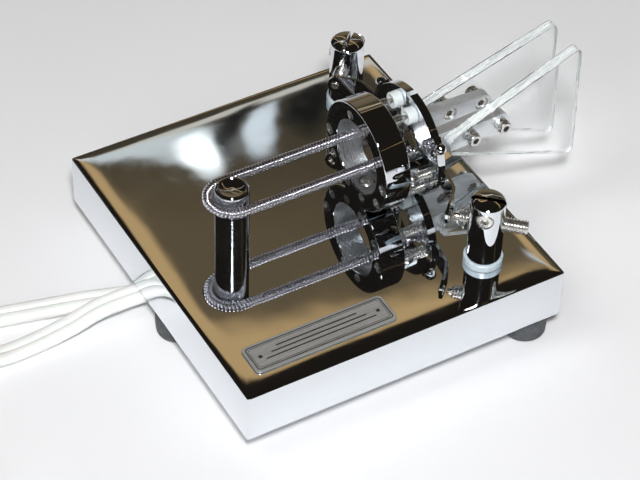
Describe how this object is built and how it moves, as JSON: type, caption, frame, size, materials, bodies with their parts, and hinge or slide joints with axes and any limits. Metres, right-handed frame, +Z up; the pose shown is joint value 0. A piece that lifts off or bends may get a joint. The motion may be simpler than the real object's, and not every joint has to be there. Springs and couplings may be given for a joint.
{
  "type": "morse key",
  "caption": "Double-lever touch paddle: two side levers on needle bearings in a standing ring, each with an angled arm beside an adjustable contact post, on a heavy footed base.",
  "frame": {"origin": "on the surface the feet rest on, under the middle of the footprint of the key without its cords", "axes": "+Z up; -Y towards the operator, where the finger pieces are; +Y towards the cords' exit; +X to the operator's right"},
  "size_m": [0.1016, 0.272, 0.0564],
  "materials": {
    "chrome": "polished mirror plating",
    "steel": "plain machined screws and needles",
    "nickel": "satin plated bars",
    "spring_steel": "bright drawn spring wire",
    "silver": "bright contact metal",
    "white_nylon": "milky nylon, slightly translucent",
    "clear_acrylic": "clear and polished",
    "insulator": "pale blue, translucent",
    "rubber": "dark grey, matte",
    "plate": "brushed, with a plain engraved border",
    "cord_white": "white flexible vinyl",
    "plug_black": "black moulded plastic"
  },
  "bodies": {
    "base": {"base_plate": "chrome", "foot_rear": "rubber", "foot_front_left": "rubber", "foot_front_right": "rubber", "nameplate": "plate", "bearing_ring": "chrome", "ring_screw": "steel", "spring_post": "chrome", "spring": "spring_steel", "cord_clip": "white_nylon", "left_upper_needle": "steel", "left_lower_needle": "steel", "left_stop_screw": "steel", "left_retaining_screw": "steel", "left_contact_post": "chrome", "left_pinch_screw": "steel", "left_post_insulator": "insulator", "left_insulating_washer": "insulator", "left_post_screw": "steel", "left_cord": "cord_white", "left_cord_coil": "cord_white", "left_cord_plug": "plug_black", "left_inner_lead": "plug_black", "right_upper_needle": "steel", "right_lower_needle": "steel", "right_stop_screw": "steel", "right_retaining_screw": "steel", "right_contact_post": "chrome", "right_pinch_screw": "steel", "right_post_insulator": "insulator", "right_insulating_washer": "insulator", "right_post_screw": "steel", "right_cord": "cord_white", "right_cord_coil": "cord_white", "right_cord_plug": "plug_black", "right_inner_lead": "plug_black"},
    "left_lever": {"left_lever_yoke": "chrome", "left_lever_bar": "nickel", "left_finger_piece": "clear_acrylic", "left_front_finger_screw": "steel", "left_rear_finger_screw": "steel", "left_contact_arm": "chrome", "left_arm_screw": "steel", "left_arm_contact": "silver", "left_upper_bearing_cup": "white_nylon", "left_lower_bearing_cup": "white_nylon"},
    "left_contact_slide": {"left_contact_tip": "silver"},
    "left_contact_rod": {"left_contact_screw": "steel"},
    "right_lever": {"right_lever_yoke": "chrome", "right_lever_bar": "nickel", "right_finger_piece": "clear_acrylic", "right_front_finger_screw": "steel", "right_rear_finger_screw": "steel", "right_contact_arm": "chrome", "right_arm_screw": "steel", "right_arm_contact": "silver", "right_upper_bearing_cup": "white_nylon", "right_lower_bearing_cup": "white_nylon"},
    "right_contact_slide": {"right_contact_tip": "silver"},
    "right_contact_rod": {"right_contact_screw": "steel"}
  },
  "joints": [
    {"name": "left_lever_hinge", "type": "hinge", "parent": "base", "child": "left_lever", "pos_m": [-0.00375, -0.01053, 0.0393], "axis": [0, 0, 1], "range_deg": [0, 1.05], "stiffness_Nm_per_rad": 0.05, "springref_deg": -1.49},
    {"name": "left_contact_advance", "type": "slide", "parent": "base", "child": "left_contact_slide", "axis": [-0.6733, -0.7394, 0], "range_m": [0, 0.00297]},
    {"name": "left_contact_turn", "type": "hinge", "parent": "left_contact_slide", "child": "left_contact_rod", "pos_m": [-0.0363, -0.01503, 0.038], "axis": [-0.6733, -0.7394, 0], "range_deg": [0, 1350]},
    {"name": "right_lever_hinge", "type": "hinge", "parent": "base", "child": "right_lever", "pos_m": [0.00375, -0.01053, 0.0393], "axis": [0, 0, -1], "range_deg": [0, 1.05], "stiffness_Nm_per_rad": 0.05, "springref_deg": -1.49},
    {"name": "right_contact_advance", "type": "slide", "parent": "base", "child": "right_contact_slide", "axis": [0.6733, -0.7394, 0], "range_m": [0, 0.00297]},
    {"name": "right_contact_turn", "type": "hinge", "parent": "right_contact_slide", "child": "right_contact_rod", "pos_m": [0.0363, -0.01503, 0.038], "axis": [0.6733, -0.7394, 0], "range_deg": [0, 1350]}
  ],
  "couplings": [
    {"joint": "left_contact_turn", "follows": "left_contact_advance", "rad_per_m": 7913.3},
    {"joint": "right_contact_turn", "follows": "right_contact_advance", "rad_per_m": 7913.3}
  ]
}
